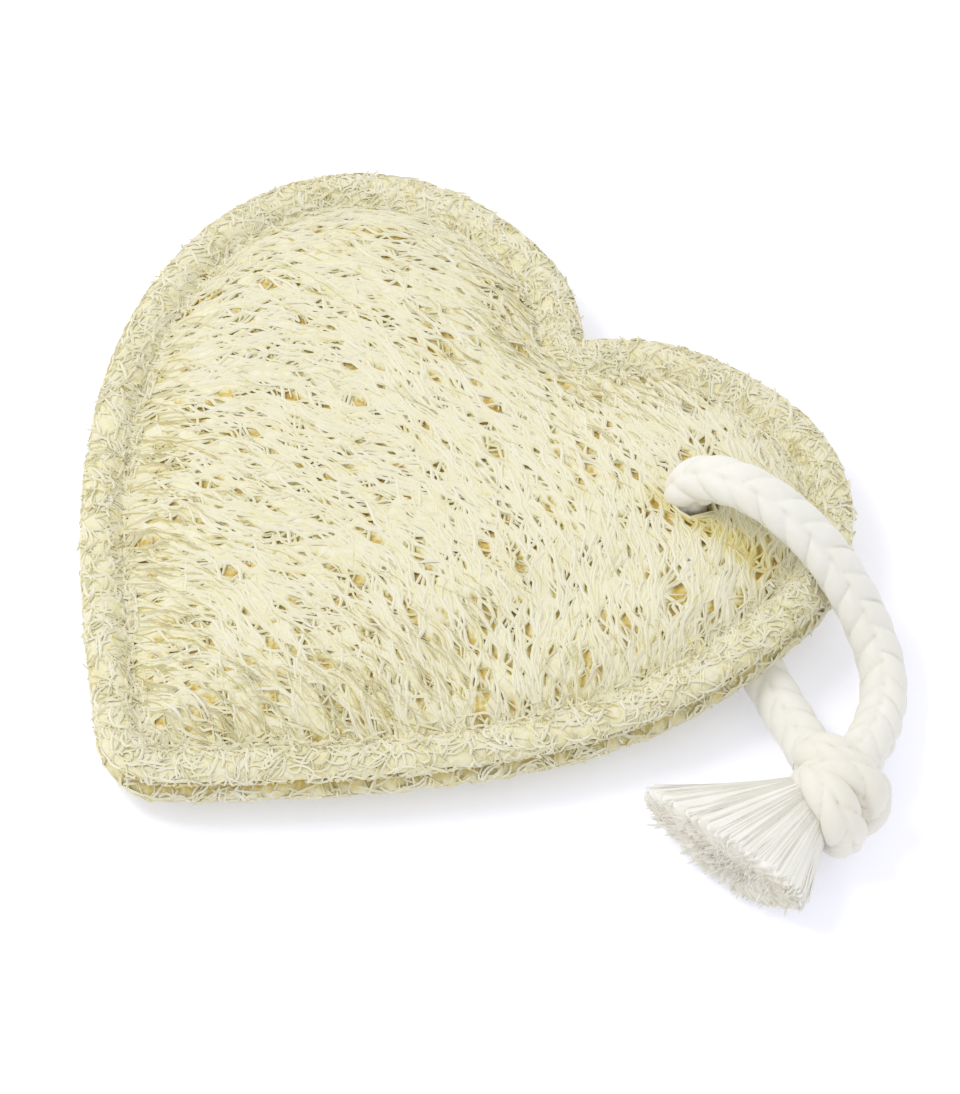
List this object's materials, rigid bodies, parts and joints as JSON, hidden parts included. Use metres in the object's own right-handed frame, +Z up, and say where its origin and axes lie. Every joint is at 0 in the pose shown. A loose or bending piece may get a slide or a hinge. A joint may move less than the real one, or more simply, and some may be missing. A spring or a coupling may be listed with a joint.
{
  "type": "loofah bath pad",
  "caption": "Heart-shaped bath pad sewn from sheets of dried loofah gourd, with a braided cotton rope threaded through a lobe, knotted and frayed into a tassel.",
  "frame": {"origin": "on the surface that the pad lies on, under the middle of the heart", "axes": "+Z up out of the front face, +Y from the heart's tip to its notch, +X towards the lobe with the rope"},
  "size_m": [0.1497, 0.1166, 0.0264],
  "materials": {
    "loofah": "dry matte plant fibre, cream ridges over a golden net",
    "thread": "matte cotton sewing thread",
    "cotton": "matte undyed braided cotton"
  },
  "bodies": {
    "root": {"loofah_front": "loofah", "loofah_back": "loofah", "seam_thread_front": "thread", "seam_thread_back": "thread", "rope": "cotton", "knot": "cotton", "tassel": "cotton"}
  },
  "joints": []
}
